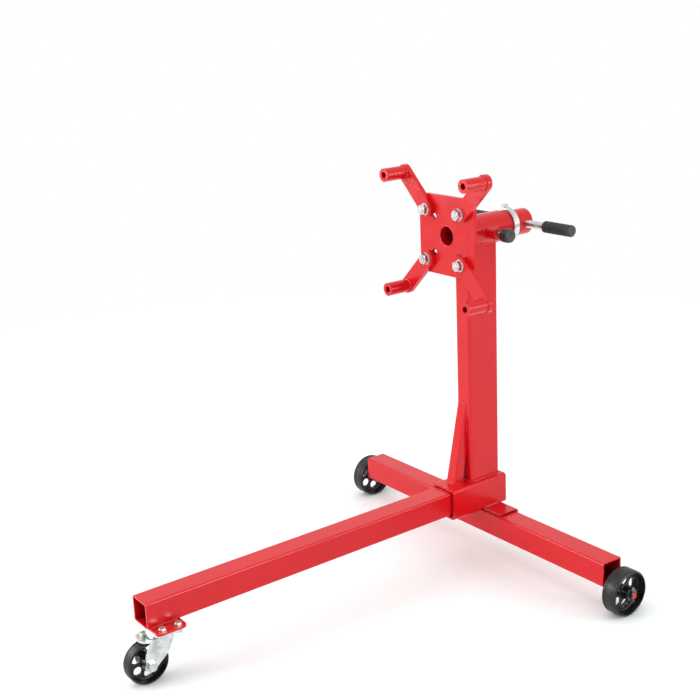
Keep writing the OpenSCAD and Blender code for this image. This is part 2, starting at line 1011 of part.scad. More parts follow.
rear_beam();
front_leg();
leg_socket();
leg_liner();
saddle_plate();
saddle_bolts();
saddle_weld_nuts();
leg_set_bolts();
leg_set_nuts();
post();
brace();
rear_axle();
rear_wheel_left();
rear_wheel_right();
axle_washers();
split_pins();
caster_plate();
caster_top_plate();
caster_bolts();
caster_nuts();
kingpin();
swivel_balls();
caster_fork();
front_wheel();
wheel_bush();
wheel_bolt();
wheel_nut();
head_sleeve();
lock_pin_boss();
lock_pin();
lock_pin_knob();
head_shaft();
thrust_washer();
mounting_plate();
retaining_collar();
collar_screw();
handle_bar();
handle_grips();
arm_1();
arm_2();
arm_3();
arm_4();
arm_tube_1();
arm_tube_2();
arm_tube_3();
arm_tube_4();
clamp_bolt_1();
clamp_bolt_2();
clamp_bolt_3();
clamp_bolt_4();
clamp_washers_1();
clamp_washers_2();
clamp_washers_3();
clamp_washers_4();
clamp_nut_1();
clamp_nut_2();
clamp_nut_3();
clamp_nut_4();
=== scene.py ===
import math
import random

import bmesh
import bpy
from mathutils import Matrix, Vector


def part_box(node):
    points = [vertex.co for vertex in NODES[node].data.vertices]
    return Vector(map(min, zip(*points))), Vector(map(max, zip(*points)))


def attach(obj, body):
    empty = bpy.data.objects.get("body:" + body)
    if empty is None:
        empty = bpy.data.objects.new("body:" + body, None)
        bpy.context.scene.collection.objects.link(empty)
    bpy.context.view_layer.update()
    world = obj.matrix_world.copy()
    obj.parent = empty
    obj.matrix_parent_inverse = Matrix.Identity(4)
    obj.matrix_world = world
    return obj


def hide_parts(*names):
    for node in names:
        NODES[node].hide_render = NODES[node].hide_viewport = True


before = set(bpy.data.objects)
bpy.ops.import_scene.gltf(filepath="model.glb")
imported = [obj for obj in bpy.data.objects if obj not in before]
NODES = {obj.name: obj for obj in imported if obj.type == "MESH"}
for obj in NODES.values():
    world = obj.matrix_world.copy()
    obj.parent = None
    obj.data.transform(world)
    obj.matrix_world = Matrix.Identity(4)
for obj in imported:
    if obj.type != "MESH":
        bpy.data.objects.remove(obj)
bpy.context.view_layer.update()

MM = 0.001
DRAW = random.Random(7)


def middle(node):
    """Middle of a CAD node's box."""
    low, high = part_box(node)
    return (low + high) / 2


# ---------- Shader nodes ----------


class Tree:
    """A material and short ways to add nodes to it."""

    def __init__(self, name):
        self.material = bpy.data.materials.new(name)
        self.material.use_nodes = True
        self.tree = self.material.node_tree
        self.shader = self.tree.nodes["Principled BSDF"]
        self.place = self.add("ShaderNodeTexCoord").outputs["Object"]

    def add(self, kind, inputs=None, **settings):
        made = self.tree.nodes.new(kind)
        for key, value in settings.items():
            setattr(made, key, value)
        for key, value in (inputs or {}).items():
            self.set(made.inputs[key], value)
        return made

    def set(self, socket, value):
        if isinstance(value, bpy.types.NodeSocket):
            self.tree.links.new(value, socket)
        else:
            socket.default_value = value

    def noise(self, scale, detail=3.0, roughness=0.5, vector=None):
        inputs = {"Vector": vector or self.place, "Scale": scale}
        inputs.update({"Detail": detail, "Roughness": roughness})
        return self.add("ShaderNodeTexNoise", inputs).outputs[0]

    def ranged(self, value, low, high, to_low, to_high):
        inputs = {"Value": value, "From Min": low, "From Max": high}
        inputs.update({"To Min": to_low, "To Max": to_high})
        return self.add("ShaderNodeMapRange", inputs).outputs["Result"]

    def math(self, operation, a, b=0.0, clamp=False):
        made = self.add("ShaderNodeMath", operation=operation, use_clamp=clamp)
        self.set(made.inputs[0], a)
        self.set(made.inputs[1], b)
        return made.outputs[0]

    def vector(self, operation, a, b=(0.0, 0.0, 0.0)):
        return self.add("ShaderNodeVectorMath", {0: a, 1: b}, operation=operation)

    def blend(self, factor, a, b):
        made = self.add("ShaderNodeMix", data_type="RGBA")
        self.set(made.inputs[0], factor)
        self.set(made.inputs[6], a)
        self.set(made.inputs[7], b)
        return made.outputs[2]

    def bump(self, height, distance, strength=1.0, under=None):
        inputs = {"Height": height, "Distance": distance, "Strength": strength}
        if under is not None:
            inputs["Normal"] = under
        return self.add("ShaderNodeBump", inputs).outputs["Normal"]

    def edges(self, radius, gain):
        """1 on sharp and tightly rounded edges, 0 on flat faces."""
        soft = self.add("ShaderNodeBevel", {"Radius": radius}, samples=4).outputs["Normal"]
        plain = self.add("ShaderNodeNewGeometry").outputs["Normal"]
        dot = self.vector("DOT_PRODUCT", soft, plain).outputs["Value"]
        return self.math("MULTIPLY", self.math("SUBTRACT", 1.0, dot), gain, clamp=True)

    def gaps(self, reach, open_share, alone=False):
        """1 where surfaces within reach close it in, or with alone the piece's own, 0 on open faces."""
        light = self.add("ShaderNodeAmbientOcclusion", {"Distance": reach}, samples=8, only_local=alone)
        return self.ranged(light.outputs["AO"], 0.0, open_share, 1.0, 0.0)

    def finish(self, **sockets):
        for key, value in sockets.items():
            self.set(self.shader.inputs[key.replace("_", " ")], value)
        return self.material


PAINT, PALER_PAINT = (0.555, 0.0026, 0.0070, 1), (0.615, 0.0040, 0.0090, 1)
# The edge colour is a lighter red: a thinner coat, plus a painted highlight.
PAINT_SPECK, EDGE_COAT_AND_HIGHLIGHT = (0.74, 0.02, 0.02, 1), (0.82, 0.045, 0.035, 1)
# Painted shade for narrow gaps and the saddle plate's seam; near black for tube insides, bare steel
# there plus painted shade.
PAINTED_SHADE, TUBE_INSIDE_BARE_AND_SHADE = (0.012, 0.0006, 0.0006, 1), (0.02, 0.0012, 0.0012, 1)
BARE_STEEL = (0.012, 0.011, 0.011, 1)
GAP_REACH, TUBE_REACH = 0.014, 0.08


def red_paint(name, bare_from=None, seam=None):
    """Glossy red powder coat: orange peel, slow colour drift, edges lighter from a thinner coat plus a
    painted highlight, painted shade in narrow gaps, near black inside tubes from bare steel plus
    painted shade.

    With bare_from, a bar along x has its round side in bare dark steel past that distance. A seam is
    the height that a plate lies at and its back edge. The lower half of its other edges gets painted
    shade, near black, where the plate meets the beam.
    """
    t = Tree(name)
    drift = t.ranged(t.noise(5.0, 4.0), 0.3, 0.7, 0.0, 1.0)
    speck = t.ranged(t.noise(1400.0, 1.0), 0.35, 0.65, 0.0, 1.0)
    colour = t.blend(drift, PAINT, PALER_PAINT)
    colour = t.blend(t.math("MULTIPLY", speck, 0.08), colour, PAINT_SPECK)
    # Lighter edges: a thinner coat there, plus a painted highlight along the rounded tube corners.
    edge = t.math("MULTIPLY", t.edges(0.0012, 5.0), t.ranged(t.noise(90.0, 3.0), 0.4, 0.7, 0.15, 0.6))
    colour = t.blend(edge, colour, EDGE_COAT_AND_HIGHLIGHT)
    # Painted shade: the colour goes near black in narrow gaps between parts, where shade falls.
    colour = t.blend(t.gaps(GAP_REACH, 0.4), colour, PAINTED_SHADE)
    # Near black deep inside the open tubes: bare steel there, plus painted shade.
    colour = t.blend(t.gaps(TUBE_REACH, 0.45, alone=True), colour, TUBE_INSIDE_BARE_AND_SHADE)
    if bare_from is not None:
        along = t.math("ABSOLUTE", t.add("ShaderNodeSeparateXYZ", {0: t.place}).outputs[0])
        normal = t.add("ShaderNodeTexCoord").outputs["Normal"]
        facing = t.math("ABSOLUTE", t.add("ShaderNodeSeparateXYZ", {0: normal}).outputs[0])
        past = t.ranged(along, bare_from, bare_from + 0.0005, 0.0, 1.0)
        bare = t.math("MULTIPLY", past, t.ranged(facing, 0.85, 0.95, 1.0, 0.0))
        colour = t.blend(bare, colour, BARE_STEEL)
    if seam is not None:
        height, back = seam
        # Painted shade: near black along the plate's lower edges in front of its back edge, in the gap
        # where it sits on the beam.
        parts = t.add("ShaderNodeSeparateXYZ", {0: t.place}).outputs
        low = t.ranged(parts[2], height + 0.0022, height + 0.0032, 1.0, 0.0)
        ahead = t.ranged(parts[1], back - 0.001, back, 1.0, 0.0)
        colour = t.blend(t.math("MULTIPLY", low, ahead), colour, PAINTED_SHADE)
    rough = t.ranged(t.noise(38.0, 4.0), 0.3, 0.7, 0.15, 0.23)
    rough = t.math("ADD", rough, t.math("MULTIPLY", edge, 0.08))
    peel = t.bump(t.noise(240.0, 2.0), 0.00035, 0.35)
    grit = t.bump(speck, 0.00004, 0.5, peel)
    return t.finish(Base_Color=colour, Roughness=rough, Normal=grit, IOR=1.40)


def zinc(name, dark, light, low, high):
    """Zinc plate: cloudy grey with a blue and straw tint, brighter edges, fine scratches."""
    t = Tree(name)
    cloud = t.ranged(t.noise(60.0, 5.0, 0.6), 0.3, 0.7, 0.0, 1.0)
    colour = t.blend(cloud, dark, light)
    tint = t.ranged(t.noise(25.0, 2.0), 0.5, 0.7, 0.0, 0.22)
    colour = t.blend(tint, colour, (0.80, 0.76, 0.62, 1))
    edge = t.edges(0.0008, 4.0)
    colour = t.blend(t.math("MULTIPLY", edge, 0.5), colour, (0.92, 0.93, 0.95, 1))
    rough = t.ranged(t.noise(110.0, 4.0), 0.3, 0.7, low, high)
    streak = t.vector("MULTIPLY", t.place, (1.0, 1.0, 0.06)).outputs[0]
    lines = t.bump(t.noise(2200.0, 1.0, vector=streak), 0.00003, 0.35)
    dents = t.bump(t.noise(180.0, 3.0), 0.00012, 0.25, lines)
    return t.finish(Base_Color=colour, Roughness=rough, Normal=dents, Metallic=1.0)


def wheel_black(name, node, radius):
    """Glossy black moulded wheel whose tread is duller and greyer, with fine rings."""
    t = Tree(name)
    centre = middle(node)
    offset = t.vector("SUBTRACT", t.place, tuple(centre)).outputs[0]
    flat = t.vector("MULTIPLY", offset, (0.0, 1.0, 1.0)).outputs[0]
    distance = t.vector("LENGTH", flat).outputs["Value"]
    tread = t.ranged(distance, radius - 0.0035, radius - 0.0008, 0.0, 1.0)
    across = t.add("ShaderNodeSeparateXYZ", {0: offset}).outputs[0]
    cloud = t.ranged(t.noise(70.0, 5.0, 0.6), 0.3, 0.7, 0.0, 1.0)
    colour = t.blend(cloud, (0.004, 0.004, 0.0044, 1), (0.010, 0.0094, 0.0094, 1))
    worn = t.blend(cloud, (0.008, 0.0072, 0.0065, 1), (0.017, 0.0152, 0.0135, 1))
    colour = t.blend(tread, colour, worn)
    rough = t.ranged(t.noise(140.0, 4.0), 0.3, 0.7, 0.24, 0.38)
    rough = t.math("ADD", rough, t.math("MULTIPLY", tread, 0.14))
    rings = t.math("SINE", t.math("MULTIPLY", across, 5200.0))
    rings = t.math("MULTIPLY", rings, tread)
    lined = t.bump(rings, 0.00005, 0.5)
    grain = t.bump(t.noise(420.0, 3.0), 0.00005, 0.4, lined)
    return t.finish(
        Base_Color=colour, Roughness=rough, Normal=grain,
        Specular_IOR_Level=0.3, Coat_Weight=0.08, Coat_Roughness=0.12,
    )


def rubber_black():
    """Dull moulded rubber with a fine sandy grain."""
    t = Tree("grip_rubber")
    cloud = t.ranged(t.noise(80.0, 4.0), 0.3, 0.7, 0.0, 1.0)
    colour = t.blend(cloud, (0.016, 0.016, 0.017, 1), (0.030, 0.029, 0.029, 1))
    colour = t.blend(t.math("MULTIPLY", t.edges(0.0008, 3.0), 0.4), colour, (0.07, 0.068, 0.066, 1))
    rough = t.ranged(t.noise(300.0, 2.0), 0.3, 0.7, 0.52, 0.72)
    grain = t.bump(t.noise(1500.0, 2.0), 0.00008, 0.5)
    return t.finish(Base_Color=colour, Roughness=rough, Normal=grain)


RED = red_paint("red_powder_coat")
WHEEL_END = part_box("rear_wheel_right")[1]
BEAM_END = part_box("rear_beam")[1]
RED_AXLE = red_paint("red_axle_paint", bare_from=WHEEL_END.x)
RED_SADDLE = red_paint("red_saddle_paint", seam=(BEAM_END.z, BEAM_END.y))
ZINC = zinc("zinc_plate", (0.40, 0.44, 0.425, 1), (0.78, 0.81, 0.795, 1), 0.18, 0.32)
BOLT_ZINC = zinc("bolt_zinc", (0.38, 0.415, 0.42, 1), (0.76, 0.785, 0.79, 1), 0.10, 0.22)
DARK_STEEL = zinc("dark_steel", (0.05, 0.05, 0.055, 1), (0.12, 0.12, 0.125, 1), 0.30, 0.45)
RUBBER = rubber_black()

REAR_R = (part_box("rear_wheel_left")[1].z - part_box("rear_wheel_left")[0].z) / 2
FRONT_R = (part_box("front_wheel")[1].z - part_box("front_wheel")[0].z) / 2
WHEELS = {
    "rear_wheel_left": wheel_black("wheel_black_left", "rear_wheel_left", REAR_R),
    "rear_wheel_right": wheel_black("wheel_black_right", "rear_wheel_right", REAR_R),
    "front_wheel": wheel_black("wheel_black_front", "front_wheel", FRONT_R),
}
RED_NODES = (
    "rear_beam", "front_leg", "leg_socket", "leg_liner", "saddle_weld_nuts",
    "leg_set_nuts", "post", "brace", "caster_plate", "head_sleeve", "lock_pin_boss",
    "head_shaft", "mounting_plate",
    "arm_1", "arm_2", "arm_3", "arm_4", "arm_tube_1", "arm_tube_2", "arm_tube_3", "arm_tube_4",
)
PRESSED_NODES = ("caster_top_plate", "caster_fork", "thrust_washer", "retaining_collar", "handle_bar")
DARK_NODES = ("axle_washers", "split_pins")
RUBBER_NODES = ("lock_pin_knob", "handle_grips")

for name, thing in NODES.items():
    if name == "rear_axle":
        chosen = RED_AXLE
    elif name == "saddle_plate":
        chosen = RED_SADDLE
    elif name in RED_NODES:
        chosen = RED
    elif name in PRESSED_NODES:
        chosen = ZINC
    elif name in DARK_NODES:
        chosen = DARK_STEEL
    elif name in RUBBER_NODES:
        chosen = RUBBER
    else:
        chosen = WHEELS.get(name, BOLT_ZINC)
    thing.data.materials.clear()
    thing.data.materials.append(chosen)


# ---------- Mesh pieces ----------


class Builder:
    """Collects vertices and faces of one piece, in metres."""

    def __init__(self):
        self.points = []
        self.faces = []

    def rows(self, rows, closed_round=True, closed_along=False, caps=True):
        """Joins rows of points with quads. Each row goes round the piece."""
        first = len(self.points)
        count = len(rows[0])
        for row in rows:
            self.points.extend(row)
        steps = len(rows) if closed_along else len(rows) - 1
        for i in range(steps):
            a = first + i * count
            b = first + ((i + 1) % len(rows)) * count
            for j in range(count if closed_round else count - 1):
                k = (j + 1) % count
                self.faces.append((a + j, a + k, b + k, b + j))
        if caps and not closed_along:
            self.faces.append(tuple(first + j for j in reversed(range(count))))
            last = first + (len(rows) - 1) * count
            self.faces.append(tuple(last + j for j in range(count)))

    def piece(self, name, material, body, angle=40.0):
        mesh = bpy.data.meshes.new(name)
        mesh.from_pydata([tuple(p) for p in self.points], [], self.faces)
        work = bmesh.new()
        work.from_mesh(mesh)
        bmesh.ops.recalc_face_normals(work, faces=work.faces)
        for face in work.faces:
            face.smooth = True
        for edge in work.edges:
            if len(edge.link_faces) == 2 and edge.calc_face_angle(0.0) > math.radians(angle):
                edge.smooth = False
        work.to_mesh(mesh)
        work.free()
        mesh.materials.append(material)
        made = bpy.data.objects.new(name, mesh)
        bpy.context.scene.collection.objects.link(made)
        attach(made, body)
        return made


def line(start, end, step=0.0004):
    """Points from start to end, a step apart."""
    start, end = Vector(start), Vector(end)
    count = max(2, int((end - start).length / step))
    return [start.lerp(end, i / count) for i in range(count + 1)]


def bead(builder, points, outs, radius, closed=False, scale=0.0017):
    """A weld bead with overlapping scales along points. Outs point out of the corner it fills."""
    count = len(points)
    around = 14
    travelled = 0.0
    wander = DRAW.uniform(0.0, 6.0)
    rows = []
    length = sum((points[i + 1] - points[i]).length for i in range(count - 1))
    for i, point in enumerate(points):
        before = points[i - 1] if i or closed else points[i]
        after = points[(i + 1) % count] if i + 1 < count or closed else points[i]
        along = (after - before).normalized()
        out = outs[i] - along * outs[i].dot(along)
        out.normalize()
        side = along.cross(out)
        if i:
            travelled += (point - points[i - 1]).length
        taper = 1.0
        if not closed:
            to_end = min(travelled, length - travelled)
            taper = math.sqrt(min(1.0, to_end / (1.2 * radius) + 0.05))
        swell = 1.0 + 0.07 * math.sin(travelled * 410.0 + wander)
        swell += 0.05 * math.sin(travelled * 173.0 + 2 * wander)
        row = []
        for j in range(around):
            turn = 2 * math.pi * j / around
            lag = 0.55 * radius * (1 - math.cos(turn))
            phase = ((travelled + lag) / scale) % 1.0
            ripple = 1.0 + 0.10 * (1.0 - phase) ** 2
            r = radius * taper * swell * ripple
            row.append(point + out * (r * math.cos(turn)) + side * (1.15 * r * math.sin(turn)))
        rows.append(row)
    builder.rows(rows, closed_along=closed)


def ring_points(centre, axis, radius, step=0.0005):
    """Points round a circle and the directions out from its middle."""
    axis = Vector(axis).normalized()
    first = axis.orthogonal().normalized()
    second = axis.cross(first)
    count = int(2 * math.pi * radius / step)
    outs = []
    for i in range(count):
        turn = 2 * math.pi * i / count
        outs.append(first * math.cos(turn) + second * math.sin(turn))
    return [Vector(centre) + out * radius for out in outs], outs


def ring_bead(builder, centre, axis, radius, bead_radius):
    """A weld bead all round a circle, in the corner between a round part and the face behind it."""
    axis = Vector(axis).normalized()
    points, outs = ring_points(centre, axis, radius)
    bead(builder, points, [(out + axis).normalized() for out in outs], bead_radius, closed=True)


def straight_bead(builder, start, end, out, radius):
    points = line(start, end)
    bead(builder, points, [Vector(out).normalized()] * len(points), radius)


# ---------- Weld beads of the frame ----------

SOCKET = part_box("leg_socket")
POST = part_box("post")
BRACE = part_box("brace")
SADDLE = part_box("saddle_plate")
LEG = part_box("front_leg")
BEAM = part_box("rear_beam")
AXLE = middle("rear_axle")
CASTER_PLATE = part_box("caster_plate")
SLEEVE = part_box("head_sleeve")
HEAD = middle("head_sleeve")
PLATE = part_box("mounting_plate")

FOOT_Z = SOCKET[1].z
CORNER = 4 * MM
THIN_BEAD, BEAD, WIDE_BEAD = 1.9 * MM, 2.1 * MM, 2.3 * MM

post_weld = Builder()
for side in (-1, 1):
    x = side * POST[1].x
    start = (x, POST[0].y + CORNER, FOOT_Z)
    end = (x, POST[1].y - CORNER, FOOT_Z)
    straight_bead(post_weld, start, end, (side, 0, 1), BEAD)
for y, out, radius in ((POST[1].y, 1, WIDE_BEAD), (POST[0].y, -1, 2.0 * MM)):
    straight_bead(
        post_weld,
        (POST[0].x + CORNER, y, FOOT_Z),
        (POST[1].x - CORNER, y, FOOT_Z),
        (0, out, 1),
        radius,
    )
post_weld.piece("post_foot_weld", RED, "root")

brace_weld = Builder()
BRACE_END_GAP = 3 * MM
BRACE_FRONT = BRACE[0].y + 0.6 * MM
straight_bead(
    brace_weld,
    (BRACE[0].x + BRACE_END_GAP, BRACE_FRONT, FOOT_Z),
    (BRACE[1].x - BRACE_END_GAP, BRACE_FRONT, FOOT_Z),
    (0, -1, 1),
    2.2 * MM,
)
FOOT_SIDE_FROM, FOOT_SIDE_TO = 4 * MM, 17 * MM
straight_bead(
    brace_weld,
    (BRACE[1].x, BRACE[0].y + FOOT_SIDE_FROM, FOOT_Z),
    (BRACE[1].x, BRACE[0].y + FOOT_SIDE_TO, FOOT_Z),
    (1, 0, 1),
    THIN_BEAD,
)
straight_bead(
    brace_weld,
    (BRACE[0].x + 2 * MM, POST[0].y, BRACE[1].z),
    (BRACE[1].x + 1.5 * MM, POST[0].y, BRACE[1].z),
    (0, -1, 1),
    WIDE_BEAD,
)
TOP_SIDE_LENGTH, TOP_SIDE_GAP = 64 * MM, 2 * MM
straight_bead(
    brace_weld,
    (BRACE[1].x, POST[0].y, BRACE[1].z - TOP_SIDE_LENGTH),
    (BRACE[1].x, POST[0].y, BRACE[1].z - TOP_SIDE_GAP),
    (1, -0.6, 0),
    1.3 * MM,
)
brace_weld.piece("brace_weld", RED, "root")

saddle_weld = Builder()
SADDLE_BEAD_X = SOCKET[1].x - 0.2 * MM
for side in (-1, 1):
    straight_bead(
        saddle_weld,
        (side * SADDLE_BEAD_X, SADDLE[0].y + 3 * MM, SADDLE[1].z),
        (side * SADDLE_BEAD_X, SADDLE[1].y - 6 * MM, SADDLE[1].z),
        (side, 0, 1),
        2.4 * MM,
    )
saddle_weld.piece("saddle_weld", RED, "root")

axle_weld = Builder()
STITCHES = (-330, -170, -20, 130, 290)
STITCH_LENGTH = 40
AXLE_BEAD_OUT = 3.6 * MM
AXLE_BEAD_Z = BEAM[0].z - 0.7 * MM
for start in STITCHES:
    for side in (-1, 1):
        y = AXLE.y + side * AXLE_BEAD_OUT
        straight_bead(
            axle_weld,
            (start * MM, y, AXLE_BEAD_Z),
            ((start + STITCH_LENGTH) * MM, y, AXLE_BEAD_Z),
            (0, side, -0.5),
            THIN_BEAD,
        )
axle_weld.piece("axle_weld", RED, "root")

caster_weld = Builder()
CASTER_BEAD_X = LEG[1].x - 2.2 * MM
CASTER_BEAD_Z = LEG[0].z + 0.6 * MM
for side in (-1, 1):
    straight_bead(
        caster_weld,
        (side * CASTER_BEAD_X, LEG[0].y + 6 * MM, CASTER_BEAD_Z),
        (side * CASTER_BEAD_X, CASTER_PLATE[1].y - 3 * MM, CASTER_BEAD_Z),
        (side, 0, 0.5),
        2.2 * MM,
    )
caster_weld.piece("caster_plate_weld", RED, "root")

sleeve_weld = Builder()
sleeve_r = SLEEVE[1].x
for side in (-1, 1):
    x = side * POST[1].x
    drop = math.sqrt(sleeve_r**2 - x**2)
    straight_bead(
        sleeve_weld,
        (x, POST[0].y + CORNER, HEAD.z - drop),
        (x, POST[1].y - CORNER, HEAD.z - drop),
        (side, 0, -0.5),
        WIDE_BEAD,
    )
ARC_STEPS = 80
for y, out in ((POST[0].y, -1), (POST[1].y, 1)):
    points = []
    reach = math.asin((POST[1].x - CORNER) / sleeve_r)
    for i in range(ARC_STEPS + 1):
        turn = -reach + 2 * reach * i / ARC_STEPS
        points.append(Vector((sleeve_r * math.sin(turn), y, HEAD.z - sleeve_r * math.cos(turn))))
    bead(sleeve_weld, points, [Vector((0, out, -0.7)).normalized()] * len(points), 2.2 * MM)
sleeve_weld.piece("head_sleeve_weld", RED, "root")

boss_weld = Builder()
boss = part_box("lock_pin_boss")
boss_r = (boss[1].z - boss[0].z) / 2
BOSS_STEPS = 150
points, outs = [], []
for i in range(BOSS_STEPS):
    turn = 2 * math.pi * i / BOSS_STEPS
    y, z = boss_r * math.cos(turn), boss_r * math.sin(turn)
    points.append(Vector((math.sqrt(sleeve_r**2 - z**2) - 0.2 * MM, HEAD.y + y, HEAD.z + z)))
    outs.append(Vector((0.8, math.cos(turn), math.sin(turn))).normalized())
bead(boss_weld, points, outs, 1.8 * MM, closed=True)
boss_weld.piece("lock_pin_boss_weld", RED, "root")

shaft_weld = Builder()
bore_r = sleeve_r - 11 * MM
points, outs = ring_points((0, PLATE[0].y + 1.2 * MM, HEAD.z), (0, 1, 0), bore_r - 0.4 * MM)
inward = [(Vector((0, -1, 0)) - out).normalized() for out in outs]
bead(shaft_weld, points, inward, 1.7 * MM, closed=True)
shaft_weld.piece("mounting_plate_weld", RED, "head")

for number in (1, 2, 3, 4):
    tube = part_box(f"arm_tube_{number}")
    arm_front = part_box(f"arm_{number}")[0].y
    tube_middle = middle(f"arm_tube_{number}")
    weld = Builder()
    tube_r = (tube[1].x - tube[0].x) / 2
    ring_bead(weld, (tube_middle.x, arm_front, tube_middle.z), (0, -1, 0), tube_r, THIN_BEAD)
    weld.piece(f"arm_tube_weld_{number}", RED, f"mounting_arm_{number}")


# ---------- Threaded bolts ----------


def frame_from(z_axis, origin):
    """Matrix that puts +Z along z_axis at origin."""
    turn = Vector((0, 0, 1)).rotation_difference(Vector(z_axis))
    return Matrix.Translation(origin) @ turn.to_matrix().to_4x4()


def hexagon_rows(across, start, height, chamfer_start, chamfer_end):
    """Rows of a hexagon prism whose corners are turned off at one or both ends."""
    around = 72
    rows = []
    levels = [(start, chamfer_start)]
    levels += [(start + part * height, False) for part in (0.1, 0.3, 0.7, 0.85)]
    levels.append((start + height, chamfer_end))
    for level, (z, ended) in enumerate(levels):
        row = []
        depth = min(z - start, start + height - z)
        for j in range(around):
            turn = 2 * math.pi * j / around
            flat = (turn + math.pi / 6) % (math.pi / 3) - math.pi / 6
            r = across / 2 / math.cos(flat)
            turned = across / 2 * (0.955 if ended else 1.0) + depth * 1.75
            near_chamfer = (chamfer_start and level < 3) or (chamfer_end and level > 2)
            if near_chamfer:
                r = min(r, turned)
            row.append(Vector((r * math.cos(turn), r * math.sin(turn), z)))
        rows.append(row)
    return rows


def bolt(builder, matrix, size, across, head, length, pitch):
    """Hexagon bolt: head on +Z, washer face at z = 0, a rolled thread down to -length."""
    around = 72
    major, depth = size / 2, 0.58 * pitch
    rows = []
    steps = int(length / pitch * 8)
    for i in range(steps + 1):
        z = -length * i / steps
        row = []
        for j in range(around):
            turn = 2 * math.pi * j / around
            phase = (z / pitch + j / around) % 1.0
            groove = abs(2 * phase - 1)
            r = major - depth * max(0.0, min(1.0, 1.35 * groove - 0.2))
            r = min(r, major - 0.7 * pitch + (length + z) * 0.8)
            row.append(Vector((r * math.cos(turn), r * math.sin(turn), z)))
        rows.append(row)
    builder.rows([[matrix @ p for p in row] for row in rows])
    washer = []
    for z, r in ((0.0, 0.47 * across), (0.05 * head, 0.475 * across), (0.09 * head, 0.46 * across)):
        row = []
        for j in range(around):
            turn = 2 * math.pi * j / around
            row.append(matrix @ Vector((r * math.cos(turn), r * math.sin(turn), z)))
        washer.append(row)
    builder.rows(washer)
    rows = hexagon_rows(across, 0.07 * head, 0.93 * head, False, True)
    builder.rows([[matrix @ p for p in row] for row in rows])


def bolts_for(node, axis, size, across, head, pitch, body):
    """Replaces each bolt of a CAD node. Axis points from the shank to the head."""
    axis = Vector(axis)
    builder = Builder()
    for low, high in solids(NODES[node].data):
        centre = (low + high) / 2
        reach = abs((high - low).dot(axis))
        top = centre + axis * reach / 2
        seat = top - axis * head
        bolt(builder, frame_from(axis, seat), size, across, head, reach - head, pitch)
    made = builder.piece(f"{node}_threaded", BOLT_ZINC, body, angle=25.0)
    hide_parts(node)


def solids(mesh):
    """Box of each separate solid of a mesh."""
    links = list(range(len(mesh.vertices)))

    def root(i):
        while links[i] != i:
            links[i] = links[links[i]]
            i = links[i]
        return i

    places = {}
    for v in mesh.vertices:
        key = tuple(round(c, 6) for c in v.co)
        links[root(v.index)] = root(places.setdefault(key, v.index))
    for edge in mesh.edges:
        links[root(edge.vertices[0])] = root(edge.vertices[1])
    groups = {}
    for v in mesh.vertices:
        groups.setdefault(root(v.index), []).append(v.co)
    boxes = []
    for points in groups.values():
        low = Vector([min(p[k] for p in points) for k in range(3)])
        high = Vector([max(p[k] for p in points) for k in range(3)])
        boxes.append((low, high))
    return sorted(boxes, key=lambda b: tuple(b[0]))


# Shank diameter, width across flats, head height and thread pitch
M8 = (8 * MM, 13 * MM, 5.3 * MM, 1.25 * MM)
M10 = (10 * MM, 17 * MM, 6.4 * MM, 1.5 * MM)
M12 = (12 * MM, 19 * MM, 7.5 * MM, 1.75 * MM)
bolts_for("caster_bolts", (0, 0, 1), *M8, "root")
bolts_for("leg_set_bolts", (-1, 0, 0), *M10, "root")
bolts_for("saddle_bolts", (0, 1, 0), *M10, "root")
bolts_for("wheel_bolt", (1, 0, 0), *M10, "swivel_fork")
for number in (1, 2, 3, 4):
    bolts_for(f"clamp_bolt_{number}", (0, 1, 0), *M12, f"clamp_{number}")


# ---------- Grips and knob ----------


def lathe(builder, profile, matrix, around=96, wobble=None):
    """Turns (distance, height) points about +Z. Wobble(angle, height) changes the distance."""
    rows = []
    for distance, height in profile:
        row = []
        for j in range(around):
            turn = 2 * math.pi * j / around
            r = distance + (wobble(turn, height) if wobble else 0.0)
            row.append(matrix @ Vector((r * math.cos(turn), r * math.sin(turn), height)))
        rows.append(row)
    builder.rows(rows)


grips = Builder()
grip_low, grip_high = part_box("handle_grips")
grip_r = (grip_high.z - grip_low.z) / 2
grip_middle = middle("handle_grips")
grip_length = 74 * MM
GRIP_EDGE = 4 * MM
GROOVE_COUNT, GROOVE_START, GROOVE_PITCH = 13, 6, 4.6
GROOVE = ((-1.4, -0.1), (-0.9, -1.3), (0.0, -1.5), (0.9, -1.3), (1.4, -0.1))
for side in (-1, 1):
    inner = side * (grip_high.x - grip_length)
    spot = frame_from((side, 0, 0), (inner, grip_middle.y, grip_middle.z))
    profile = [(8.1 * MM, 0.0), (grip_r - 0.8 * MM, 0.0)]
    profile += [(grip_r - 0.1 * MM, 0.7 * MM), (grip_r - 0.1 * MM, 3.2 * MM)]
    for groove in range(GROOVE_COUNT):
        z = (GROOVE_START + groove * GROOVE_PITCH) * MM
        for shift, r in GROOVE:
            profile.append((grip_r + r * MM, z + shift * MM))
    for i in range(7):
        turn = math.pi / 2 * i / 6
        distance = grip_r - 4.1 * MM + GRIP_EDGE * math.cos(turn)
        profile.append((distance, grip_length - GRIP_EDGE + GRIP_EDGE * math.sin(turn)))
    lathe(grips, profile, spot)
ribbed = grips.piece("handle_grips_ribbed", RUBBER, "handle", angle=50.0)
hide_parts("handle_grips")

knob = Builder()
knob_low, knob_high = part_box("lock_pin_knob")
knob_r = (knob_high.z - knob_low.z) / 2
knob_middle = middle("lock_pin_knob")
knob_length = knob_high.x - knob_low.x
KNOB_EDGE = 4 * MM
EDGE_STEPS = 8
FLUTES, FLUTE_DEPTH = 8, 1.3 * MM


def flutes(turn, height):
    """Eight finger flutes, deepest at half height."""
    along = math.sin(math.pi * min(1.0, max(0.0, height / knob_length)))
    return -FLUTE_DEPTH * along * (0.5 + 0.5 * math.cos(FLUTES * turn)) ** 1.5


